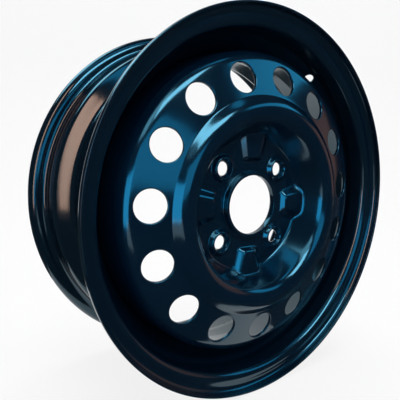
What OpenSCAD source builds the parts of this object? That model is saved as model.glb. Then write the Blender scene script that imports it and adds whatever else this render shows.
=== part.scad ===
// Steel wheel rim for a passenger car: a rolled hoop, a pressed centre disc and the weld beads between them.
// The spin axis is Y, -Y is the outboard side, +Z is up, and the origin is the hub face on the spin axis.

/* [Rim] */
// Bead seat diameter of the hoop
seat_d = 380.2; // [378:0.1:382]
// Width between the two flange faces
rim_w = 152.4; // [146:0.1:158]
// Distance from the hoop's middle plane out to the hub face
wheel_offset = 50; // [46:0.5:53]
// Sheet thickness of the hoop
rim_t = 2.4; // [2:0.1:2.8]
// Height of a flange above the bead seat
flange_h = 17.3; // [16.5:0.1:18]
// Radius of the flange lip on the tyre side
lip_r = 9.5; // [9:0.1:10]
// Width of a flange from its face to the end of its lip
flange_b = 13; // [12:0.1:14]
// Radius between a flange and its bead seat
seat_fillet = 6.5; // [5.5:0.1:7.5]
// Slope of the bead seats in degrees
seat_slope = 5; // [4.5:0.1:5.5]
// Width of a bead seat from the flange face to the foot of its hump
seat_w = 18.5; // [17.5:0.1:19.5]
// Depth of the well below the bead seat
well_depth = 17.3; // [16.5:0.1:18]
// Distance from the hub face inboard to the front corner of the well
well_front = 23; // [22:0.5:25]
// Distance from the hub face inboard to the back corner of the well
well_back = 85; // [81:0.5:87]
// Slope of the well's front wall against the spin axis in degrees
well_front_slope = 38; // [36:1:40]
// Slope of the well's back wall against the spin axis in degrees
well_back_slope = 51; // [48:1:54]
// Slope of the humps on the side of the bead seats in degrees
hump_slope = 17; // [14:1:19]
// Radius of the humps
hump_r = 8; // [7:0.5:9]
// Radius of the well's corners
well_r = 8; // [6:0.5:10]

/* [Valve hole] */
// Diameter of the hole for the valve
valve_d = 11.5; // [10:0.1:13]
// Angle of the valve hole, seen from outboard and counted from +X
valve_angle = 57; // [0:1:359]
// Distance of the valve hole from the well's front corner, up the well's front wall
valve_up = 19; // [16:0.5:19]

/* [Disc] */
// Sheet thickness of the disc
disc_t = 3.6; // [3:0.1:4]
// Diameter of the centre bore
bore_d = 67.1; // [66:0.1:68]
// Height of the bore's lip above the hub face
bore_lip_h = 10; // [9:0.1:11]
// Radius between the hub plate and the bore's lip, on the front
bore_fillet = 1.5; // [1:0.1:2]
// Radius at the foot of the dish wall, where the hub plate ends
plate_r = 76; // [75:0.5:77]
// Slope of the dish wall against the spin axis in degrees
wall_slope = 27.4; // [25:0.2:29]
// Radius at the foot of the dish wall
wall_fillet = 6; // [4:0.5:8]
// Radius of the crown ring's rounded top
crown_r = 16; // [14:0.5:17]
// Slope of the crown ring's outer flank in degrees
flank_slope = 36; // [33:1:39]
// Radius of the groove around the crown ring
groove_pos_r = 119; // [118:0.5:120]
// Height of the groove above the hub face
groove_z = 30.6; // [29.5:0.1:31.5]
// Bend radius of the groove
groove_fillet = 3; // [2:0.5:5]
// Slope of the vent zone in degrees
vent_slope = 15; // [13:0.5:17]
// Radius where the vent zone and the skirt would meet
shoulder_pos_r = 165; // [164:0.5:166]
// Bend radius of the shoulder
shoulder_r = 15; // [12:0.5:15.5]
// Distance from the hub face inboard to the seated end of the disc
skirt_end = 47; // [45:0.5:49]
// Length of the disc's seat in the well
seat_l = 21; // [19:0.5:22]
// Bend radius between the skirt and the disc's seat
skirt_r = 12; // [8:1:16]

/* [Vent holes] */
// Number of vent holes
vent_count = 15; // [12:1:18]
// Diameter of the vent holes
vent_d = 32; // [28:0.5:34]
// Radius of the circle on which the vent holes lie
vent_pos_r = 138.4; // [137.5:0.1:139.5]
// Angle of the first vent hole, seen from outboard and counted from +X
vent_angle = 225; // [213:1:237]

/* [Lug seats] */
// Number of lug holes
lug_count = 4; // [3:1:5]
// Diameter of the lug circle
lug_pcd = 114.3; // [112:0.1:115]
// Diameter of the lug holes
lug_d = 15; // [14:0.1:16]
// Largest diameter of the conical nut seats
nut_seat_d = 20.4; // [19.5:0.1:21.5]
// Full angle of the conical nut seats
nut_seat_angle = 60; // [55:1:65]
// Height of the lug bosses above the hub plate
boss_h = 4.4; // [3.8:0.1:5]
// Diameter of the lug bosses at the hub plate
boss_d = 31; // [29.5:0.5:32]
// Slope of the lug bosses' sides in degrees
boss_slope = 50; // [46:1:54]
// Rounding along the lug bosses' top edges
boss_edge_r = 1.8; // [1:0.1:2.2]
// Depth of the relief behind each lug boss
boss_relief = 1.2; // [0.8:0.1:1.6]
// Diameter of the relief behind each lug boss
relief_d = 26; // [24:0.5:28]

/* [Ribs] */
// Distance from the spin axis to the inner end of a rib's top
rib_in_r = 53.5; // [52:0.5:54]
// Height of a rib's inner end above the hub plate
rib_h = 6.8; // [6:0.1:7.6]
// Rise of a rib's top towards the dish wall in degrees
rib_rise = 3; // [0:0.5:5]
// Width of a rib's top at its inner end
rib_w = 15.5; // [14:0.5:18]
// Angle by which each side of a rib opens outwards in degrees
rib_taper = 12; // [10:0.5:13]
// Slope of a rib's sides in degrees
rib_side_slope = 42; // [39:1:46]
// Slope of a rib's inner end in degrees
rib_end_slope = 56; // [52:1:60]
// Rounding along a rib's top edges
rib_edge_r = 4.6; // [4.2:0.1:5]

/* [Welds] */
// Number of weld beads
weld_count = 8; // [6:1:10]
// Angle that each weld bead covers
weld_angle = 24; // [18:1:30]
// Leg of the weld beads
weld_leg = 3.4; // [2.6:0.1:3.6]
// Clearance between pieces that sit against each other
fit_gap = 0.05; // [0.02:0.01:0.1]

/* [Hidden] */
$fn = 180;
bend_step = 6;
paint = [0.035, 0.042, 0.055];

seat_r = seat_d / 2;
rim_r = seat_r + flange_h;
front_z = rim_w / 2 - wheel_offset;
back_z = -rim_w / 2 - wheel_offset;
well_out_r = seat_r - well_depth;
well_in_r = well_out_r - rim_t;
lip_over = asin((flange_b - lip_r) / lip_r);
lip_run = lip_r * tan((90 + lip_over) / 2);
disc_seat_r = well_in_r - fit_gap;
bore_r = bore_d / 2;
lug_r = lug_pcd / 2;
boss_top_z = disc_t + boss_h;
nut_seat_depth = (nut_seat_d - lug_d) / 2 / tan(nut_seat_angle / 2);
vent_z = groove_z - (vent_pos_r - groove_pos_r) * tan(vent_slope);
valve_reach = 4 * rim_t;
lug_angle = 180 / lug_count;
boss_top_r = boss_d / 2 - boss_h / tan(boss_slope);
boss_ring_w = boss_top_r - lug_d / 4;
dish_h = groove_z - disc_t;
dish_r = plate_r - disc_t / 2 * tan(wall_slope) + disc_t / 2 / cos(wall_slope);
rib_reach = plate_r + 4 * disc_t;
rib_depth = groove_z;
vent_reach = 6 * disc_t;

// Direction of travel that leads inboard and opens outwards by an angle
function heading(angle) = [sin(angle), -cos(angle)];
function unit(v) = v / norm(v);
function right(v) = [v[1], -v[0]];
function spoke(angle) = [cos(angle), sin(angle)];
function turn(a, b, c) = atan2(cross(b - a, c - b), (b - a) * (c - b));
function meet(p, d, q, e) = p + d * cross(q - p, e) / cross(d, e);

// Points of one bend: the corner of a path rounded to a radius, on the face that lies offset to its right
function bend(before, corner, after, radius, offset) =
    let (
        way_in = unit(corner - before),
        angle = turn(before, corner, after),
        side = angle < 0 ? 1 : -1,
        start = corner - way_in * radius * tan(abs(angle) / 2),
        middle = start + right(way_in) * radius * side,
        steps = ceil(abs(angle) / bend_step),
        first = atan2(start[1] - middle[1], start[0] - middle[0])
    )
    [for (i = [0 : steps]) middle + (radius - side * offset) * spoke(first + angle * i / steps)];

// One face of a bent sheet, offset to the right of its path
function face(path, radii, offset) =
    let (last = len(path) - 1)
    concat(
        [path[0] + right(unit(path[1] - path[0])) * offset],
        [for (i = [1 : last - 1]) each bend(path[i - 1], path[i], path[i + 1], radii[i], offset)],
        [path[last] + right(unit(path[last] - path[last - 1])) * offset]
    );

function reversed(list) = [for (i = [len(list) - 1 : -1 : 0]) list[i]];

// Path of the hoop along its tyre side, as [radius, height above the hub face], from lip to lip
front_lip = [rim_r - lip_r + lip_r * cos(lip_over), front_z + lip_r + lip_r * sin(lip_over)];
front_seat = [seat_r, front_z];
front_hump = [seat_r - seat_w * tan(seat_slope), front_z - seat_w];
front_well = [well_out_r, -well_front];
back_well = [well_out_r, -well_back];
back_hump = [seat_r - seat_w * tan(seat_slope), back_z + seat_w];
back_seat = [seat_r, back_z];
back_lip = [rim_r - lip_r + lip_r * cos(lip_over), back_z - lip_r - lip_r * sin(lip_over)];
rim_path = [
    front_lip,
    front_lip + heading(lip_over) * lip_run,
    front_seat,
    front_hump,
    meet(front_hump, heading(hump_slope), front_well, heading(-well_front_slope)),
    front_well,
    back_well,
    meet(back_well, heading(well_back_slope), back_hump, heading(-hump_slope)),
    back_hump,
    back_seat,
    back_lip - heading(-lip_over) * lip_run,
    back_lip
];
rim_bends = [0, lip_r, seat_fillet, hump_r, hump_r, well_r, well_r, hump_r, hump_r, seat_fillet, lip_r, 0];

// Path of the disc along its front, from the bore's lip out to the end of its seat in the well
plate_edge = [plate_r, disc_t];
groove = [groove_pos_r, groove_z];
shoulder = [shoulder_pos_r, groove_z - (shoulder_pos_r - groove_pos_r) * tan(vent_slope)];
disc_path = [
    [bore_r + disc_t, bore_lip_h],
    [bore_r + disc_t, disc_t],
    plate_edge,
    meet(plate_edge, -heading(-wall_slope), groove, heading(90 - flank_slope)),
    groove,
    shoulder,
    [disc_seat_r, seat_l - skirt_end],
    [disc_seat_r, -skirt_end]
];
disc_bends = [0, bore_fillet, wall_fillet, crown_r, groove_fillet, shoulder_r, skirt_r, 0];

// Section of a bent sheet: its path is one face, and its thickness lies to the right of the path
module sheet_section(path, radii, thickness) {
    polygon(concat(face(path, radii, 0), reversed(face(path, radii, thickness))));
}

// Section of a raised form's rounded edge: level to the left of the origin, sloping down to its right
module edge_section(slope, radius, inset, width, depth) {
    path = [[-width, 0], [0, 0], [depth / tan(slope), -depth]];
    polygon(concat(face(path, [0, radius, 0], inset), [[-width, -depth - inset]]));
}

// Turns a shape whose axis is Z and whose front is +Z into the wheel's frame
module on_axle() {
    rotate([90, 0, 0])
        children();
}

// Copies of a shape around the spin axis
module around(count, first) {
    for (i = [0 : count - 1])
        rotate([0, 0, first + i * 360 / count])
            children();
}

// Hoop rolled from one strip, with its valve hole in the well's front wall
module rim() {
    color(paint)
        on_axle()
            difference() {
                rotate_extrude()
                    sheet_section(rim_path, rim_bends, rim_t);
                rotate([0, 0, valve_angle])
                    translate([well_out_r, 0, -well_front])
                        rotate([0, well_front_slope, 0])
                            translate([0, 0, valve_up])
                                rotate([0, 90, 0])
                                    cylinder(d = valve_d, h = valve_reach, center = true);
            }
}

// Long raised edge along X, level on its -Y side, for a rib's sides and inner end
module rib_edge(slope, inset) {
    rotate([90, 0, 90])
        linear_extrude(height = rib_reach, center = true)
            edge_section(slope, rib_edge_r, inset, rib_reach, rib_depth);
}

// Rib that runs out into the dish wall, or the hollow behind it when inset by the sheet
module rib(inset) {
    translate([rib_in_r, 0, disc_t + rib_h])
        rotate([0, -rib_rise, 0])
            intersection() {
                translate([0, rib_w / 2, 0])
                    rotate([0, 0, rib_taper])
                        rib_edge(rib_side_slope, inset);
                mirror([0, 1, 0])
                    translate([0, rib_w / 2, 0])
                        rotate([0, 0, rib_taper])
                            rib_edge(rib_side_slope, inset);
                rotate([0, 0, 90])
                    rib_edge(rib_end_slope, inset);
            }
}

// Space in front of the middle of the hub plate and of the dish wall, in which the ribs stand
module dish_space() {
    translate([0, 0, disc_t / 2])
        cylinder(r1 = dish_r, r2 = dish_r + dish_h * tan(wall_slope), h = dish_h);
}

// Raised boss around a lug hole
module lug_boss() {
    rotate_extrude()
        translate([boss_top_r, boss_top_z])
            edge_section(boss_slope, boss_edge_r, 0, boss_ring_w, boss_h + disc_t / 2);
}

// Lug hole with its conical nut seat and the relief on the hub side
module lug_cut() {
    cylinder(d = lug_d, h = 2 * boss_top_z, center = true);
    translate([0, 0, boss_top_z - nut_seat_depth])
        cylinder(d1 = lug_d, d2 = 2 * nut_seat_d - lug_d, h = 2 * nut_seat_depth);
    translate([0, 0, -boss_relief])
        cylinder(d1 = relief_d + 2 * boss_relief, d2 = relief_d - 2 * boss_relief, h = 2 * boss_relief);
}

// Vent hole, punched square to the vent zone
module vent_cut() {
    translate([vent_pos_r, 0, vent_z])
        rotate([0, vent_slope, 0])
            cylinder(d = vent_d, h = vent_reach, center = true);
}

// Centre disc pressed from one sheet
module disc() {
    color(paint)
        on_axle()
            difference() {
                union() {
                    rotate_extrude()
                        sheet_section(disc_path, disc_bends, disc_t);
                    intersection() {
                        around(lug_count, 0)
                            rib(0);
                        dish_space();
                    }
                    around(lug_count, lug_angle)
                        translate([lug_r, 0, 0])
                            lug_boss();
                }
                around(lug_count, 0)
                    rib(disc_t);
                around(lug_count, lug_angle)
                    translate([lug_r, 0, 0])
                        lug_cut();
                around(vent_count, vent_angle)
                    vent_cut();
            }
}

// Weld beads between the end of the disc's seat and the hoop's well
module welds() {
    color(paint)
        on_axle()
            around(weld_count, -weld_angle / 2)
                rotate_extrude(angle = weld_angle)
                    translate([well_in_r - fit_gap, -skirt_end - fit_gap])
                        intersection() {
                            circle(r = weld_leg);
                            translate([-weld_leg, -weld_leg])
                                square(weld_leg);
                        }
}

rim();
disc();
welds();
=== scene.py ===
# %% [markdown]
# # A pressed-steel car wheel in gloss black
#
# The wheel is three things on the workshop bench: a hoop rolled from a strip of steel, a disc pressed
# from one sheet, and the weld beads that hold the disc in the hoop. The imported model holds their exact
# solids. This script rebuilds all three as smooth meshes in the same place, because a gloss finish shows
# every flat of a triangulated solid, and then paints, lights and photographs them.

import math

import bmesh
import bpy
from mathutils import Matrix, Vector


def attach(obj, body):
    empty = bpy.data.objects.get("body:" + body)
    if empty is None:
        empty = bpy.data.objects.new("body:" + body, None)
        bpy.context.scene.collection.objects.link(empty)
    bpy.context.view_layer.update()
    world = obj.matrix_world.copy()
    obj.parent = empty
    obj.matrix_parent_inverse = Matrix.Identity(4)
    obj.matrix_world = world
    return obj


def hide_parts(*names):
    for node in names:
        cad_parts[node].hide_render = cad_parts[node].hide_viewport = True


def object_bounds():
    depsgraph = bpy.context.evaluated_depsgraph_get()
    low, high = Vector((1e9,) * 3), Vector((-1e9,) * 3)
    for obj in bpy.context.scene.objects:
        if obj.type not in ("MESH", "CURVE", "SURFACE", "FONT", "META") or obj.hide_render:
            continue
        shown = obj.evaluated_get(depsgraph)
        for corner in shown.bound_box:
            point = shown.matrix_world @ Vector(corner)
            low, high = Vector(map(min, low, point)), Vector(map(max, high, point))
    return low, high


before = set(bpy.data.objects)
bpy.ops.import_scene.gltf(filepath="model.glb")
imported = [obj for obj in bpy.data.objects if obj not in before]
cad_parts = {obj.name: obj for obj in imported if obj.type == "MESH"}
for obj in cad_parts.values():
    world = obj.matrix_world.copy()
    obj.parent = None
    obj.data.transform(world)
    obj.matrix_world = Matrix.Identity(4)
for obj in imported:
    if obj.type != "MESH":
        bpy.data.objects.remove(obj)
cad_low, cad_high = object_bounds()
cad_size = [round(1000 * (high - low), 1) for low, high in zip(cad_low, cad_high)]
print("CAD nodes:", sorted(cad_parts), "box in mm:", cad_size)

# %% [markdown]
# ## Drawing a sheet-metal section
#
# Rolled and pressed sheet is straight runs joined by bends, so its section is a path of corners, each
# with a bend radius. A curve object could draw it, but then its points could not be cut and pressed
# later. Here a wire grows in a bmesh: a vertex is added at the start of each bend, and the spin operator
# sweeps that vertex round the bend's centre, which gives a true arc. The back of the sheet is the same
# path, moved sideways by the thickness. Radius runs along X, the spin axis is Y, and the wheel's outer
# side is -Y.

# %% Section helper
MM = 0.001
SAME_POINT = 0.02
BEND_STEP = math.radians(7.5)
EDGE_STEP = math.radians(22.5)
EDGE_SEGMENTS = 3
SHARP_ANGLE = math.radians(42)


def at(radius, out):
    """A point of a section, in metres, from its radius and its height outboard of the hub face, in mm."""
    return Vector((radius * MM, -out * MM, 0))


def right_of(way):
    """The direction square to a way along a section, to the side on which the sheet's back lies."""
    return Vector((-way.y, way.x, 0))


def last_vertex(swept):
    """The vertex at the end of a spin that swept a single vertex."""
    return next(g for g in swept["geom_last"] if isinstance(g, bmesh.types.BMVert))


def run_on(bm, here, point, runs):
    """Adds a straight run to a point, unless the wire is there already, and gives the vertex at the point."""
    if (here.co - point).length < SAME_POINT * MM:
        runs.append(None)
        return here
    there = bm.verts.new(point)
    runs.append(bm.edges.new((here, there)))
    return there


def bent_wire(bm, corners, radii, offset=0.0, step=BEND_STEP):
    """A wire along the corners, rounded to the radii, offset to the right in mm: its straight runs."""
    first = (corners[1] - corners[0]).normalized()
    here, runs = bm.verts.new(corners[0] + right_of(first) * offset * MM), []
    for before, corner, after, radius in zip(corners, corners[1:], corners[2:], radii):
        way_in = (corner - before).normalized()
        way_out = (after - corner).normalized()
        turn = math.atan2(way_in.cross(way_out).z, way_in.dot(way_out))
        tangent = corner - way_in * radius * MM * math.tan(abs(turn) / 2)
        centre = tangent + right_of(way_in) * radius * MM * math.copysign(1, turn)
        bend = run_on(bm, here, tangent + right_of(way_in) * offset * MM, runs)
        steps = max(2, math.ceil(abs(turn) / step))
        swept = bmesh.ops.spin(bm, geom=[bend], cent=centre, axis=(0, 0, 1), angle=turn, steps=steps)
        here = last_vertex(swept)
    last = (corners[-1] - corners[-2]).normalized()
    run_on(bm, here, corners[-1] + right_of(last) * offset * MM, runs)
    return runs


def revolve(bm, steps):
    """Spins everything drawn so far once round the wheel's axis."""
    geom = bm.verts[:] + bm.edges[:]
    bmesh.ops.spin(bm, geom=geom, cent=(0, 0, 0), axis=(0, 1, 0), angle=math.tau, steps=steps, use_merge=True)
    bmesh.ops.remove_doubles(bm, verts=bm.verts, dist=SAME_POINT * MM)
    bmesh.ops.recalc_face_normals(bm, faces=bm.faces)
    bm.normal_update()


def sheet_section(bm, corners, radii, thickness, cuts, edge_round):
    """Draws both faces of a sheet as one closed outline, with its runs cut for later and its edges eased."""
    face_runs = bent_wire(bm, corners, radii)
    back_runs = bent_wire(bm, corners, radii, thickness)
    for face_run, back_run, count in zip(face_runs, back_runs, cuts):
        if count:
            bmesh.ops.subdivide_edges(bm, edges=[face_run, back_run], cuts=count)
    ends = sorted((vert for vert in bm.verts if len(vert.link_edges) == 1), key=lambda vert: vert.co.y)
    bm.edges.new(ends[:2])
    bm.edges.new(ends[2:])
    bmesh.ops.bevel(bm, geom=ends, offset=edge_round * MM, offset_type="OFFSET", affect="VERTICES",
                    segments=EDGE_SEGMENTS, profile=0.5, material=-1)


def finish_piece(bm, name, sharp_angle=SHARP_ANGLE):
    """Turns a bmesh into a smooth-shaded object at the origin that rides on the wheel."""
    mesh = bpy.data.meshes.new(name)
    bm.to_mesh(mesh)
    bm.free()
    mesh.shade_smooth()
    mesh.set_sharp_from_angle(angle=sharp_angle)
    piece = bpy.data.objects.new(name, mesh)
    bpy.context.scene.collection.objects.link(piece)
    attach(piece, "root")
    print(name, "has", len(mesh.polygons), "faces")
    return piece


# %% [markdown]
# ## Cutting round holes in a spun sheet
#
# A boolean would cut the holes, but it leaves long thin faces that a gloss finish shows as scratches.
# Instead a window of faces is taken out of both sides of the sheet, a small spun insert with the hole's
# own section is set into it, and bridge_loops joins the window's outline to the insert's outline, face by
# face. The insert can also carry a raised seat or an eased edge.

# %% Hole helper
def open_edges(bm):
    """The edges that have a face on one side only."""
    return {e for e in bm.edges if len(e.link_faces) == 1}


def split_loops(edges):
    """Sorts open edges into separate loops."""
    loops, left = [], set(edges)
    while left:
        loop, grow = set(), [left.pop()]
        while grow:
            edge = grow.pop()
            loop.add(edge)
            near = {e for v in edge.verts for e in v.link_edges if e in left}
            left -= near
            grow += near
        loops.append(loop)
    return loops


def set_insert(bm, window, place, draw, droop=0.0):
    """Replaces a window of faces by an insert, which draw() sketches as (radius from its axis, height)."""
    bmesh.ops.delete(bm, geom=window, context="FACES")
    frames = split_loops(open_edges(bm))
    count = len(frames[0])
    insert = bmesh.new()
    draw(insert)
    geom = insert.verts[:] + insert.edges[:]
    bmesh.ops.spin(insert, geom=geom, cent=(0, 0, 0), axis=(0, 1, 0), angle=math.tau, steps=count,
                   use_merge=True)
    bmesh.ops.remove_doubles(insert, verts=insert.verts, dist=SAME_POINT * MM)
    for vert in insert.verts:
        vert.co.y += droop * vert.co.z ** 2
    insert.transform(place)
    mesh = bpy.data.meshes.new("insert")
    insert.to_mesh(mesh)
    insert.free()
    framed = set().union(*frames)
    bm.from_mesh(mesh)
    bpy.data.meshes.remove(mesh)
    rings = split_loops(open_edges(bm) - framed)
    axis_point, axis = place.translation, place.to_3x3() @ Vector((0, -1, 0))

    def height(loop):
        return sum((v.co - axis_point).dot(axis) for e in loop for v in e.verts) / len(loop)

    for outline, ring in zip(sorted(frames, key=height), sorted(rings, key=height)):
        made = bmesh.ops.bridge_loops(bm, edges=list(outline) + list(ring))
        across = [e for e in made["edges"] if e not in outline and e not in ring]
        bmesh.ops.subdivide_edges(bm, edges=across, cuts=1, use_grid_fill=True)


def polar(point):
    """(radius, angle) of a point about the wheel's axis, as seen from outboard, in mm and radians."""
    return math.hypot(point.x, point.z) / MM, math.atan2(point.z, point.x)


def angle_gap(a, b):
    """The smaller of the two turns between two angles."""
    return abs((a - b + math.pi) % math.tau - math.pi)


# %% [markdown]
# ## The rim
#
# The hoop is rolled from a 2.4 mm strip. From the lip inwards its section runs over the flange, down to
# the sloping bead seat, over a low hump that keeps the tyre's bead on its seat, and down into the well,
# then the same in mirror order to the back lip. A cylinder could be sculpted to that shape, but a spun
# section keeps the sheet even. The flanges, seats and width are those of a standard 15 x 6J rim.

# %% Rim section
HUB_TO_MIDDLE = 50.0
RIM_WIDTH = 152.4
RIM_SHEET = 2.4
SEAT_R = 190.1
FLANGE_H = 17.3
FLANGE_W = 13.0
LIP_R = 9.5
SEAT_W = 18.5
SEAT_DROP = SEAT_W * math.tan(math.radians(5))
WELL_R = 172.8
WELL_FRONT = -23.0
WELL_BACK = -85.0
FRONT_WALL = math.radians(38)
BACK_WALL = math.radians(51)
HUMP_RISE = math.radians(17)
SEAT_BEND = 6.5
HUMP_BEND = 8.0
WELL_BEND = 8.0


def crossing(radius_a, out_a, rise_a, radius_b, out_b, rise_b):
    """Where two lines of a section meet, each given by a point and its rise in radius per mm outboard."""
    out = (radius_b - radius_a + rise_a * out_a - rise_b * out_b) / (rise_a - rise_b)
    return at(radius_a + rise_a * (out - out_a), out)


def lip_corners(face, side):
    """The lip's free end and the corner its arc is bent around; side is 1 at the front and -1 at the back."""
    over = math.asin((FLANGE_W - LIP_R) / LIP_R)
    top_r = SEAT_R + FLANGE_H - LIP_R
    end = at(top_r + LIP_R * math.cos(over), face + side * (LIP_R + LIP_R * math.sin(over)))
    run = LIP_R * math.tan((math.pi / 2 + over) / 2)
    corner = end + at(math.sin(over), -side * math.cos(over)) * run
    return end, corner


front_face = RIM_WIDTH / 2 - HUB_TO_MIDDLE
back_face = -RIM_WIDTH / 2 - HUB_TO_MIDDLE
hump_r = SEAT_R - SEAT_DROP
front_lip, front_lip_corner = lip_corners(front_face, 1)
back_lip, back_lip_corner = lip_corners(back_face, -1)
rim_corners = [
    front_lip, front_lip_corner, at(SEAT_R, front_face), at(hump_r, front_face - SEAT_W),
    crossing(hump_r, front_face - SEAT_W, -math.tan(HUMP_RISE), WELL_R, WELL_FRONT, math.tan(FRONT_WALL)),
    at(WELL_R, WELL_FRONT), at(WELL_R, WELL_BACK),
    crossing(WELL_R, WELL_BACK, -math.tan(BACK_WALL), hump_r, back_face + SEAT_W, math.tan(HUMP_RISE)),
    at(hump_r, back_face + SEAT_W), at(SEAT_R, back_face), back_lip_corner, back_lip,
]
half_bends = [LIP_R, SEAT_BEND, HUMP_BEND, HUMP_BEND, WELL_BEND]
rim_bends = half_bends + half_bends[::-1]
print("Rim section has", len(rim_corners), "corners")

# %% Rim with its valve hole
RIM_STEPS = 300
RIM_CUTS = (0, 1, 2, 0, 9, 5, 2, 0, 2, 1, 0)
VALVE_D = 11.5
VALVE_TURN = math.radians(57)
VALVE_UP = 19.0
VALVE_WINDOW = 9.2
VALVE_RIM = 1.2
VALVE_EDGE = 0.6
ON_RUN = math.radians(13.5)
SHEET_EDGE = 0.55

rim = bmesh.new()
sheet_section(rim, rim_corners, rim_bends, RIM_SHEET, RIM_CUTS, SHEET_EDGE)
revolve(rim, RIM_STEPS)

valve_radius = WELL_R + VALVE_UP * math.sin(FRONT_WALL)
valve_out = WELL_FRONT + VALVE_UP * math.cos(FRONT_WALL)
valve_place = (Matrix.Rotation(-VALVE_TURN, 4, "Y") @ Matrix.Translation(at(valve_radius, valve_out))
               @ Matrix.Rotation(math.pi / 2 + FRONT_WALL, 4, "Z"))
valve_axis = valve_place.to_3x3() @ Vector((0, -1, 0))


def draw_tube(bm, hole, rim_width, sheet, edge):
    """The section of a punched hole: a short tube with eased edges and a flat rim on both faces."""
    ring = hole + rim_width
    corners = [at(ring, 0), at(hole, 0), at(hole, -sheet), at(ring, -sheet)]
    bent_wire(bm, corners, [edge, edge], step=EDGE_STEP)


def draw_valve_hole(bm):
    draw_tube(bm, VALVE_D / 2, VALVE_RIM, RIM_SHEET, VALVE_EDGE)


def near_valve(face):
    window = VALVE_WINDOW * MM
    local = valve_place.inverted() @ face.calc_center_median()
    square = abs(face.normal.dot(valve_axis)) > math.cos(ON_RUN)
    return square and local.length < 2 * window and max(abs(local.x), abs(local.z)) < window


set_insert(rim, [f for f in rim.faces if near_valve(f)], valve_place, draw_valve_hole)
bmesh.ops.recalc_face_normals(rim, faces=rim.faces)
rim_piece = finish_piece(rim, "rim_hoop")
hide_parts("rim")

# %% [markdown]
# ## The disc
#
# The centre is pressed from one 3.6 mm sheet. Its section starts at the lip round the bore, crosses the
# flat hub plate, climbs the dish wall, rolls over the crown ring, dips into a groove, falls along the
# vent zone and turns over the shoulder into the skirt, whose straight end is pressed into the well of the
# hoop. The plain bowl is spun first, because ribs, seats and holes are all added to a round blank in the
# press too.

# %% Disc blank
DISC_SHEET = 3.6
BORE_R = 33.55
BORE_LIP = 10.0
PLATE_R = 76.0
WALL_SLOPE = math.radians(27.4)
FLANK_SLOPE = math.radians(36)
GROOVE_R = 119.0
GROOVE_OUT = 30.6
VENT_SLOPE = math.radians(15)
SHOULDER_R = 165.0
DISC_SEAT_R = 170.35
SEAT_START = -26.0
SEAT_END = -47.0
BORE_BEND = 1.5
PLATE_BEND = 6.0
CROWN_BEND = 16.0
GROOVE_BEND = 3.0
SHOULDER_BEND = 15.0
SKIRT_BEND = 12.0
DISC_STEPS = 300
DISC_CUTS = (1, 21, 9, 2, 9, 4, 2)

shoulder_out = GROOVE_OUT - (SHOULDER_R - GROOVE_R) * math.tan(VENT_SLOPE)
crown_corner = crossing(PLATE_R, DISC_SHEET, math.tan(WALL_SLOPE),
                        GROOVE_R, GROOVE_OUT, -1 / math.tan(FLANK_SLOPE))
disc_corners = [
    at(BORE_R + DISC_SHEET, BORE_LIP), at(BORE_R + DISC_SHEET, DISC_SHEET), at(PLATE_R, DISC_SHEET),
    crown_corner, at(GROOVE_R, GROOVE_OUT), at(SHOULDER_R, shoulder_out),
    at(DISC_SEAT_R, SEAT_START), at(DISC_SEAT_R, SEAT_END),
]
disc_bends = [BORE_BEND, PLATE_BEND, CROWN_BEND, GROOVE_BEND, SHOULDER_BEND, SKIRT_BEND]

disc = bmesh.new()
sheet_section(disc, disc_corners, disc_bends, DISC_SHEET, DISC_CUTS, SHEET_EDGE)
revolve(disc, DISC_STEPS)
print("Disc blank has", len(disc.faces), "faces")

# %% [markdown]
# ## Pressing the ribs
#
# Four ribs rise out of the hub plate between the lug holes and run out into the dish wall, and the sheet
# is hollow behind them. A rib is the space under four planes: a rising top, two sides and an inner end.
# The two sides are mirror images, so three planes are written down and the distance across is taken
# without its sign. Pressing is a sculpting move: each vertex of the blank goes up to the rib's height
# where the rib is higher. A soft minimum and a soft maximum round the edges as a press tool does. The
# back of the sheet follows the same planes, moved in by the sheet's thickness, so the wall stays even.

# %% Press the ribs
RIB_COUNT = 4
RIB_IN_R = 53.5
RIB_H = 6.8
RIB_RISE = math.radians(3)
RIB_W = 15.5
RIB_TAPER = math.radians(12)
RIB_SIDE = math.radians(42)
RIB_END = math.radians(56)
RIB_EDGE = 3.0
RIB_FOOT = 2.5
RIB_REACH_R = 100.0


def soft_max(a, b, width):
    """The larger of two heights, with the corner between them rounded over a width."""
    return max(a, b) + max(width - abs(a - b), 0) ** 2 / (4 * width)


def soft_min(a, b, width):
    return -soft_max(-a, -b, width)


along = Vector((math.cos(RIB_RISE), 0, math.sin(RIB_RISE)))
across = Vector((0, 1, 0))
upward = along.cross(across)
rib_start = Vector((RIB_IN_R, 0, DISC_SHEET + RIB_H))
side_way = across * math.cos(RIB_TAPER) - along * math.sin(RIB_TAPER)
rib_planes = [
    (rib_start, upward),
    (rib_start + across * RIB_W / 2, side_way * math.sin(RIB_SIDE) + upward * math.cos(RIB_SIDE)),
    (rib_start, -along * math.sin(RIB_END) + upward * math.cos(RIB_END)),
]


def rib_height(out_along, out_across, inset):
    """Height of a rib, or of the hollow behind it, over a point of the hub plate, in mm."""
    height = None
    for point, normal in rib_planes:
        level = (normal.dot(point) - inset - normal.x * out_along - normal.y * abs(out_across)) / normal.z
        height = level if height is None else soft_min(height, level, RIB_EDGE)
    return height


rib_turn = math.tau / RIB_COUNT
for vert in disc.verts:
    radius, angle = polar(vert.co)
    if not BORE_R + 2 * DISC_SHEET < radius < RIB_REACH_R:
        continue
    near_rib = angle - round(angle / rib_turn) * rib_turn
    inset = 0.0 if vert.normal.y < 0 else DISC_SHEET
    level = rib_height(radius * math.cos(near_rib), radius * math.sin(near_rib), inset)
    vert.co.y = -soft_max(-vert.co.y / MM, level, RIB_FOOT) * MM
print("Ribs pressed to", RIB_H, "mm over the hub plate")

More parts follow.
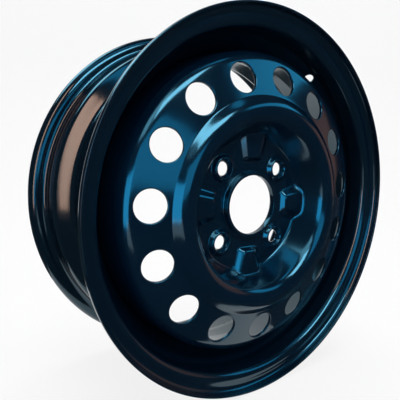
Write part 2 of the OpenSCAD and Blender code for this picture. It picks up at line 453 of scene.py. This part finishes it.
# %% [markdown]
# ## Vent holes and lug seats
#
# The vents are punched square to the vent zone, so each insert is a short tube with eased edges. Its flat
# rim is drooped a little to follow the cone. A lug seat is raised like a small volcano, with a 60 degree
# cone for the nut and a shallow relief on the hub side, so its insert carries that whole section.

# %% Punch the vents
VENT_COUNT = 15
VENT_D = 32.0
VENT_R = 138.4
VENT_FIRST = math.radians(225)
VENT_HALF = math.radians(9)
VENT_RIM = 1.1
PUNCH_EDGE = 0.9
ON_CONE = math.radians(1.5)

vent_out = GROOVE_OUT - (VENT_R - GROOVE_R) * math.tan(VENT_SLOPE)
vent_place = Matrix.Translation(at(VENT_R, vent_out)) @ Matrix.Rotation(VENT_SLOPE, 4, "Z")
cone_droop = math.sin(VENT_SLOPE) / (2 * VENT_R * MM)


def draw_vent(bm):
    draw_tube(bm, VENT_D / 2, VENT_RIM, DISC_SHEET, PUNCH_EDGE)


def faces_on_slope(bm, inner, outer, slope, margin):
    """Faces between two radii whose slope to the hub is about the given one, each with its polar angle."""
    found = []
    for face in bm.faces:
        radius, angle = polar(face.calc_center_median())
        tilt = math.acos(min(1.0, abs(face.normal.y)))
        if inner < radius < outer and abs(tilt - slope) < margin:
            found.append((face, angle))
    return found


def set_inserts(bm, count, first, half, faces, place, draw, droop=0.0):
    """Sets the same insert into a ring of windows cut from the given faces."""
    for i in range(count):
        angle = first + i * math.tau / count
        window = [f for f, a in faces if angle_gap(a, angle) < half]
        set_insert(bm, window, Matrix.Rotation(-angle, 4, "Y") @ place, draw, droop)


vent_faces = faces_on_slope(disc, GROOVE_R - DISC_SHEET, SHOULDER_R, VENT_SLOPE, ON_CONE)
set_inserts(disc, VENT_COUNT, VENT_FIRST, VENT_HALF, vent_faces, vent_place, draw_vent, cone_droop)
print("Punched", VENT_COUNT, "vents of", VENT_D, "mm")

# %% Raise the lug seats
LUG_COUNT = 4
LUG_R = 57.15
LUG_D = 15.0
LUG_FIRST = math.radians(45)
LUG_HALF = math.radians(19.8)
NUT_SEAT_R = 10.2
NUT_CONE = math.radians(30)
BOSS_H = 4.4
BOSS_R = 15.5
BOSS_SLOPE = math.radians(50)
BOSS_RIM = 0.5
RELIEF = 1.2
RELIEF_R = 13.0
PLATE_INNER = 40.0
PLATE_TILT = math.radians(14.3)
LUG_BENDS = (1.0, 1.6, 0.5, 0.4, 0.3, 0.4, 0.4)


def draw_lug_seat(bm):
    top = DISC_SHEET + BOSS_H
    ring = BOSS_R + BOSS_RIM
    hole = LUG_D / 2
    corners = [
        at(ring, DISC_SHEET), at(BOSS_R, DISC_SHEET), at(BOSS_R - BOSS_H / math.tan(BOSS_SLOPE), top),
        at(NUT_SEAT_R, top), at(hole, top - (NUT_SEAT_R - hole) / math.tan(NUT_CONE)), at(hole, RELIEF),
        at(RELIEF_R - RELIEF, RELIEF), at(RELIEF_R, 0), at(ring, 0),
    ]
    runs = bent_wire(bm, corners, LUG_BENDS, step=EDGE_STEP)
    bmesh.ops.subdivide_edges(bm, edges=runs[1:2], cuts=2)


lug_faces = faces_on_slope(disc, PLATE_INNER, PLATE_R, 0, PLATE_TILT)
lug_faces = [(f, a) for f, a in lug_faces if abs(f.calc_center_median().y) < 1.5 * DISC_SHEET * MM]
set_inserts(disc, LUG_COUNT, LUG_FIRST, LUG_HALF, lug_faces, Matrix.Translation(at(LUG_R, 0)), draw_lug_seat)
bmesh.ops.recalc_face_normals(disc, faces=disc.faces)
disc_piece = finish_piece(disc, "pressed_disc")
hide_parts("disc")

# %% [markdown]
# ## The weld beads
#
# Eight short fillet welds hold the end of the disc's seat in the well. A plain fillet looks moulded,
# while a real bead is a row of overlapping puddles that starts and ends thinner. So a quarter-round
# section is spun through the bead's length in fine steps, and each step is then swelled and shrunk about
# the corner in which the bead lies.

# %% Weld beads
WELD_COUNT = 8
WELD_LENGTH = math.radians(24)
WELD_LEG = 3.4
WELD_GAP = 0.05
WELD_STEPS = 120
CAP_STEPS = 8
WELD_SHARP = math.radians(60)
RIPPLE_PITCH = math.radians(0.9)
RIPPLE = 0.07
TAPER = math.radians(1.6)
END_SIZE = 0.12

weld_corner = at(DISC_SEAT_R, SEAT_END - WELD_GAP)


def bead_swell(turn):
    """How far a bead's section has grown at an angle from the bead's middle."""
    from_end = WELD_LENGTH / 2 - abs(turn)
    end = math.sqrt(min(1.0, from_end / TAPER + END_SIZE))
    puddle = 1 - RIPPLE * (0.5 + 0.5 * math.cos(math.tau * turn / RIPPLE_PITCH))
    return end * puddle


welds = bmesh.new()
for i in range(WELD_COUNT):
    bead = bmesh.new()
    corner = bead.verts.new(weld_corner)
    wall_leg = bead.verts.new(weld_corner + at(0, -WELD_LEG))
    bead.edges.new((corner, wall_leg))
    swept = bmesh.ops.spin(bead, geom=[wall_leg], cent=weld_corner, axis=(0, 0, 1), angle=math.pi / 2,
                           steps=CAP_STEPS)
    bead.edges.new((last_vertex(swept), corner))
    bmesh.ops.rotate(bead, verts=bead.verts, cent=(0, 0, 0), matrix=Matrix.Rotation(WELD_LENGTH / 2, 3, "Y"))
    ends = bead.edges[:]
    swept = bmesh.ops.spin(bead, geom=bead.verts[:] + bead.edges[:], cent=(0, 0, 0), axis=(0, 1, 0),
                           angle=-WELD_LENGTH, steps=WELD_STEPS)
    bmesh.ops.edgeloop_fill(bead, edges=ends)
    bmesh.ops.edgeloop_fill(bead, edges=[g for g in swept["geom_last"] if isinstance(g, bmesh.types.BMEdge)])
    for vert in bead.verts:
        turn = polar(vert.co)[1]
        middle = Matrix.Rotation(-turn, 3, "Y") @ weld_corner
        vert.co = middle + (vert.co - middle) * bead_swell(turn)
    bead.transform(Matrix.Rotation(-i * math.tau / WELD_COUNT, 4, "Y"))
    mesh = bpy.data.meshes.new("bead")
    bead.to_mesh(mesh)
    bead.free()
    welds.from_mesh(mesh)
    bpy.data.meshes.remove(mesh)
bmesh.ops.recalc_face_normals(welds, faces=welds.faces)
weld_piece = finish_piece(welds, "weld_beads", WELD_SHARP)
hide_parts("welds")

# %% [markdown]
# ## Gloss black paint
#
# The whole wheel is dipped and sprayed in one gloss black. Up close such a coat is never flat: it has a
# fine orange-peel texture, slow waves from the steel beneath, and a thin uneven film of dust that makes
# the gloss duller in places. These three belong to every piece, so they are one node group that puts out
# a colour, a roughness and a height. The weld beads get the same group with coarser values, because paint
# pools on them.

# %% Paint film group
BLUE_BLACK = (0.0010, 0.0050, 0.0105, 1)
GREY_DUST = (0.03, 0.05, 0.06, 1)
DUST_SCALE = 16.0
DUST_FROM = 0.42
DUST_FULL = 0.72
PEEL_SHARE = 0.08


def paint_film():
    """A node group for a sprayed coat: colour, roughness and height that change over the surface."""
    group = bpy.data.node_groups.new("paint_film", "ShaderNodeTree")
    inputs = (
        ("Paint", "NodeSocketColor", BLUE_BLACK), ("Dust", "NodeSocketColor", GREY_DUST),
        ("Dust Amount", "NodeSocketFloat", 0.1), ("Roughness", "NodeSocketFloat", 0.16),
        ("Peel Scale", "NodeSocketFloat", 420.0), ("Wave Scale", "NodeSocketFloat", 28.0),
    )
    for name, kind, value in inputs:
        socket = group.interface.new_socket(name=name, in_out="INPUT", socket_type=kind)
        socket.default_value = value
    outputs = (("Color", "NodeSocketColor"), ("Roughness", "NodeSocketFloat"), ("Height", "NodeSocketFloat"))
    for name, kind in outputs:
        group.interface.new_socket(name=name, in_out="OUTPUT", socket_type=kind)
    nodes, links = group.nodes, group.links
    values = nodes.new("NodeGroupInput")
    out = nodes.new("NodeGroupOutput")
    place = nodes.new("ShaderNodeTexCoord").outputs["Object"]

    def noise(detail):
        node = nodes.new("ShaderNodeTexNoise")
        node.inputs["Detail"].default_value = detail
        links.new(place, node.inputs["Vector"])
        return node

    film = noise(6)
    film.inputs["Scale"].default_value = DUST_SCALE
    patch = nodes.new("ShaderNodeMapRange")
    patch.inputs["From Min"].default_value = DUST_FROM
    patch.inputs["From Max"].default_value = DUST_FULL
    links.new(film.outputs["Fac"], patch.inputs["Value"])
    dust = nodes.new("ShaderNodeMath")
    dust.operation = "MULTIPLY"
    links.new(patch.outputs["Result"], dust.inputs[0])
    links.new(values.outputs["Dust Amount"], dust.inputs[1])
    colour = nodes.new("ShaderNodeMix")
    colour.data_type = "RGBA"
    links.new(dust.outputs["Value"], colour.inputs["Factor"])
    links.new(values.outputs["Paint"], colour.inputs["A"])
    links.new(values.outputs["Dust"], colour.inputs["B"])
    links.new(colour.outputs["Result"], out.inputs["Color"])

    rough = nodes.new("ShaderNodeMath")
    rough.operation = "ADD"
    links.new(values.outputs["Roughness"], rough.inputs[0])
    links.new(dust.outputs["Value"], rough.inputs[1])
    links.new(rough.outputs["Value"], out.inputs["Roughness"])

    peel = noise(2)
    links.new(values.outputs["Peel Scale"], peel.inputs["Scale"])
    wave = noise(2)
    links.new(values.outputs["Wave Scale"], wave.inputs["Scale"])
    both = nodes.new("ShaderNodeMath")
    both.operation = "MULTIPLY_ADD"
    both.inputs[1].default_value = PEEL_SHARE
    links.new(peel.outputs["Fac"], both.inputs[0])
    links.new(wave.outputs["Fac"], both.inputs[2])
    links.new(both.outputs["Value"], out.inputs["Height"])
    return group


film_group = paint_film()
print("Paint film group has", len(film_group.nodes), "nodes")

# %% Paints
BLUE_GLOSS = (0.48, 0.82, 1.0, 1)
SKIN_DEPTH = 0.0006


def paint(name, roughness, dust_amount, peel_scale, bump):
    """A black paint made of the film group and a thinly clear-coated shader, whose gloss has a blue tint."""
    material = bpy.data.materials.new(name)
    material.use_nodes = True
    nodes, links = material.node_tree.nodes, material.node_tree.links
    shader = nodes["Principled BSDF"]
    shader.inputs["Specular IOR Level"].default_value = 0.85
    shader.inputs["Specular Tint"].default_value = BLUE_GLOSS
    shader.inputs["Coat Weight"].default_value = 0.15
    shader.inputs["Coat Roughness"].default_value = 0.05
    film = nodes.new("ShaderNodeGroup")
    film.node_tree = film_group
    film.inputs["Roughness"].default_value = roughness
    film.inputs["Dust Amount"].default_value = dust_amount
    film.inputs["Peel Scale"].default_value = peel_scale
    links.new(film.outputs["Color"], shader.inputs["Base Color"])
    links.new(film.outputs["Roughness"], shader.inputs["Roughness"])
    skin = nodes.new("ShaderNodeBump")
    skin.inputs["Strength"].default_value = bump
    skin.inputs["Distance"].default_value = SKIN_DEPTH
    links.new(film.outputs["Height"], skin.inputs["Height"])
    links.new(skin.outputs["Normal"], shader.inputs["Normal"])
    return material


sheet_paint = paint("sheet_paint", roughness=0.13, dust_amount=0.035, peel_scale=420, bump=0.22)
weld_paint = paint("weld_paint", roughness=0.24, dust_amount=0.12, peel_scale=260, bump=0.6)
for piece, material in ((rim_piece, sheet_paint), (disc_piece, sheet_paint), (weld_piece, weld_paint)):
    piece.data.materials.append(material)
print("Painted", rim_piece.name, disc_piece.name, weld_piece.name)

# %% [markdown]
# ## The camera
#
# The photograph was taken close to the wheel, from its left and a little above its middle. A camera could
# be set by eye, but a close view stretches what is near, so its place, turn and focal length come from
# matching the round edges and the holes of the wheel with their places in the photograph.

# %% Camera
CAMERA_PLACE = (-0.30903, -0.34017, 0.05858)
CAMERA_TURN = (82.972, -2.127, -35.242)

camera = bpy.data.objects.new("camera", bpy.data.cameras.new("camera"))
camera.data.lens = 36.016
camera.data.sensor_width = 36.0
camera.data.clip_start = 0.01
camera.location = CAMERA_PLACE
camera.rotation_euler = [math.radians(angle) for angle in CAMERA_TURN]
bpy.context.scene.collection.objects.link(camera)
bpy.context.scene.camera = camera
print("Camera is", round(camera.location.length, 3), "m from the hub face")

# %% [markdown]
# ## Floor and backdrop
#
# The wheel stands on a wide pale floor with a round pale wall far around it, so that it has a light
# background from every side. A gloss black object is drawn by what it mirrors, so the stage also decides
# where the paint is bright. One white floor could do it all, but then every face that looks down would
# shine. So the floor and the wall are left out of the mirror image, and three sheets of paper are put
# into it: a sweep that curves up behind the wheel, a mat beside its foot, and a small card in front. They
# are placed as the camera sees them.

# %% Sweep
SWEEP_FAR = 1.6
SWEEP_TOP = 2.2
SWEEP_BEND = 0.7
SWEEP_WIDTH = 3.4
SWEEP_STEPS = 24

floor_z = cad_low[2]


def stage_piece(bm, name):
    """Turns a bmesh into a smooth piece of the stage, turned to face the camera."""
    bm.transform(Matrix.Rotation(camera.rotation_euler.z, 4, "Z"))
    bmesh.ops.recalc_face_normals(bm, faces=bm.faces)
    mesh = bpy.data.meshes.new(name)
    bm.to_mesh(mesh)
    bm.free()
    mesh.shade_smooth()
    piece = bpy.data.objects.new(name, mesh)
    bpy.context.scene.collection.objects.link(piece)
    print(name, "has", len(mesh.polygons), "faces")
    return piece


sweep = bmesh.new()
bend = sweep.verts.new((-SWEEP_WIDTH / 2, SWEEP_FAR - SWEEP_BEND, floor_z))
swept = bmesh.ops.spin(sweep, geom=[bend], cent=bend.co + Vector((0, 0, SWEEP_BEND)), axis=(1, 0, 0),
                       angle=math.pi / 2, steps=SWEEP_STEPS)
top = sweep.verts.new((-SWEEP_WIDTH / 2, SWEEP_FAR, SWEEP_TOP))
sweep.edges.new((last_vertex(swept), top))
side = bmesh.ops.extrude_edge_only(sweep, edges=sweep.edges[:])
bmesh.ops.translate(sweep, verts=[g for g in side["geom"] if isinstance(g, bmesh.types.BMVert)],
                    vec=(SWEEP_WIDTH, 0, 0))
backdrop = stage_piece(sweep, "sweep")

# %% Paper, floor and wall
FLOOR_SIZE = 8.0
FLOOR_DROP = 0.0005
WALL_R = 3.9
WALL_TOP = 7.0
WALL_STEPS = 96


def paper_on_floor(name, left, near, wide, deep):
    """A sheet of paper on the floor, by its near left corner and its size, as the camera sees it."""
    sheet = bmesh.new()
    bmesh.ops.create_grid(sheet, x_segments=1, y_segments=1, size=0.5)
    bmesh.ops.scale(sheet, verts=sheet.verts, vec=(wide, deep, 1))
    middle = (left + wide / 2, near + deep / 2, floor_z - FLOOR_DROP / 2)
    bmesh.ops.translate(sheet, verts=sheet.verts, vec=middle)
    return stage_piece(sheet, name)


mat = paper_on_floor("mat", -0.35, -0.07, 0.46, 0.61)
front_card = paper_on_floor("front_card", -0.15, -1.0, 0.25, 0.5)

ground = bmesh.new()
bmesh.ops.create_grid(ground, x_segments=1, y_segments=1, size=FLOOR_SIZE / 2)
bmesh.ops.translate(ground, verts=ground.verts, vec=(0, 0, floor_z - FLOOR_DROP))
floor = stage_piece(ground, "floor")

room = bmesh.new()
wall_foot = room.verts.new((0, WALL_R, floor_z - FLOOR_DROP))
wall_top = room.verts.new((0, WALL_R, WALL_TOP))
edge = room.edges.new((wall_foot, wall_top))
bmesh.ops.spin(room, geom=[wall_foot, wall_top, edge], cent=(0, 0, 0), axis=(0, 0, 1), angle=math.tau,
               steps=WALL_STEPS, use_merge=True)
wall = stage_piece(room, "wall")
for far_piece in (floor, wall):
    far_piece.visible_glossy = False
wall.visible_shadow = False
wall.visible_diffuse = False

# %% [markdown]
# ## White paper
#
# Brighter lamps would make the paper white, but they would also wash out the wheel. So the paper is an
# ordinary pale surface to most light, and Light Path makes it glow at a strength of 1 for camera,
# mirrored and transmitted rays. The glow makes up most of what they see, and the rest is the lit surface,
# which keeps the wheel's shadow.

# %% White paper
GLOW_SHARE = 0.86

stage_pieces = [backdrop, mat, front_card, floor, wall]
paper = bpy.data.materials.new("sweep_paper")
paper.use_nodes = True
nodes, links = paper.node_tree.nodes, paper.node_tree.links
pale = nodes["Principled BSDF"]
pale.inputs["Base Color"].default_value = (0.82, 0.82, 0.82, 1)
pale.inputs["Roughness"].default_value = 0.9
pale.inputs["Specular IOR Level"].default_value = 0.1
rays = nodes.new("ShaderNodeLightPath")
seen = nodes.new("ShaderNodeMath")
seen.operation = "MAXIMUM"
links.new(rays.outputs["Is Camera Ray"], seen.inputs[0])
links.new(rays.outputs["Is Glossy Ray"], seen.inputs[1])
shown = nodes.new("ShaderNodeMath")
shown.operation = "MAXIMUM"
links.new(seen.outputs["Value"], shown.inputs[0])
links.new(rays.outputs["Is Transmission Ray"], shown.inputs[1])
share = nodes.new("ShaderNodeMath")
share.operation = "MULTIPLY"
share.inputs[1].default_value = GLOW_SHARE
links.new(shown.outputs["Value"], share.inputs[0])
white = nodes.new("ShaderNodeEmission")
mix = nodes.new("ShaderNodeMixShader")
links.new(share.outputs["Value"], mix.inputs["Fac"])
links.new(pale.outputs["BSDF"], mix.inputs[1])
links.new(white.outputs["Emission"], mix.inputs[2])
links.new(mix.outputs["Shader"], nodes["Material Output"].inputs["Surface"])
for piece in stage_pieces:
    piece.data.materials.append(paper)
print("White paper on", len(stage_pieces), "pieces of the stage")

# %% [markdown]
# ## Light
#
# On gloss black paint a lamp is seen as its own mirror image, so each softbox stands where the photograph
# shows a bright patch to come from, and its size is the size of that patch. The key box gives the bright
# cool arcs at the upper left, the sky panel the soft blue of the vent zone, and the strips the blue
# glints on the ribs, the lug seats and the dish. A warm card at the left gives the tan band on the hoop.
# A world picture could do the same, but a few named boxes are easier to move. Light linking keeps each
# box to the pieces it is meant for: the paper gets only a neutral light from above, which keeps the floor
# white and casts the wheel's shadow on it.

# %% Lights
def lit_group(name, pieces):
    """A collection of the pieces that a softbox may light."""
    group = bpy.data.collections.new(name)
    for piece in pieces:
        group.objects.link(piece)
    return group


def softbox(name, turn, height, distance, wide, tall, radiance, colour, lit):
    """A softbox, placed and sized in degrees as the wheel sees it: turned right of -Y, raised over level."""
    turn, height = math.radians(turn), math.radians(height)
    way = Vector((math.sin(turn) * math.cos(height), -math.cos(turn) * math.cos(height), math.sin(height)))
    light = bpy.data.lights.new(name, "AREA")
    light.shape = "RECTANGLE"
    light.size = 2 * distance * math.tan(math.radians(wide / 2))
    light.size_y = 2 * distance * math.tan(math.radians(tall / 2))
    light.energy = math.pi * light.size * light.size_y * radiance
    light.color = colour
    lamp = bpy.data.objects.new(name, light)
    lamp.location = way * distance
    lamp.rotation_euler = way.to_track_quat("Z", "Y").to_euler()
    lamp.visible_camera = False
    lamp.light_linking.receiver_collection = lit
    bpy.context.scene.collection.objects.link(lamp)
    print(name, "gives", round(light.energy, 1), "W")


# %% Softboxes
COOL = (0.38, 0.82, 1.0)
BLUE = (0.05, 0.58, 1.0)
WARM = (1.0, 0.43, 0.28)
NEUTRAL = (1.0, 1.0, 1.0)
on_wheel = lit_group("on_wheel", [rim_piece, disc_piece, weld_piece])
on_hoop = lit_group("on_hoop", [rim_piece])
on_disc = lit_group("on_disc", [disc_piece])
on_paper = lit_group("on_paper", stage_pieces)
# Name, turn, height, distance in metres, how wide, how tall, radiance, colour, pieces that it lights.
softbox("key_box", -6, 45, 1.7, 34, 16, 11.0, COOL, on_wheel)
softbox("sky_panel", -13, 12, 1.9, 40, 24, 2.3, BLUE, on_wheel)
softbox("blue_strip", -50, 3, 1.6, 12, 26, 3.2, BLUE, on_hoop)
softbox("rib_strip", -49, -1, 0.85, 30, 26, 5.0, BLUE, on_disc)
softbox("seat_strip", -46, 46, 1.6, 20, 30, 3.5, COOL, on_disc)
softbox("right_strip", 56, 35, 1.7, 36, 13, 2.3, BLUE, on_wheel)
softbox("right_card", 74, 8, 1.7, 30, 24, 0.35, WARM, on_wheel)
softbox("top_box", -20, 74, 1.5, 50, 10, 2.0, BLUE, on_wheel)
softbox("rear_box", -150, 50, 1.5, 30, 30, 4.0, COOL, on_wheel)
softbox("left_card", -61.5, 20, 3.0, 10, 64, 9.0, WARM, on_hoop)
softbox("floor_light", 0, 90, 3.2, 42, 42, 6.5, NEUTRAL, on_paper)

# %% Dim room
world = bpy.data.worlds.new("dim_room")
world.use_nodes = True
room_light = world.node_tree.nodes["Background"]
room_light.inputs["Color"].default_value = (0.50, 0.80, 1.0, 1)
room_light.inputs["Strength"].default_value = 0.06
bpy.context.scene.world = world
bpy.context.scene.view_settings.view_transform = "Standard"
print("The room fills in at", round(room_light.inputs["Strength"].default_value, 2))
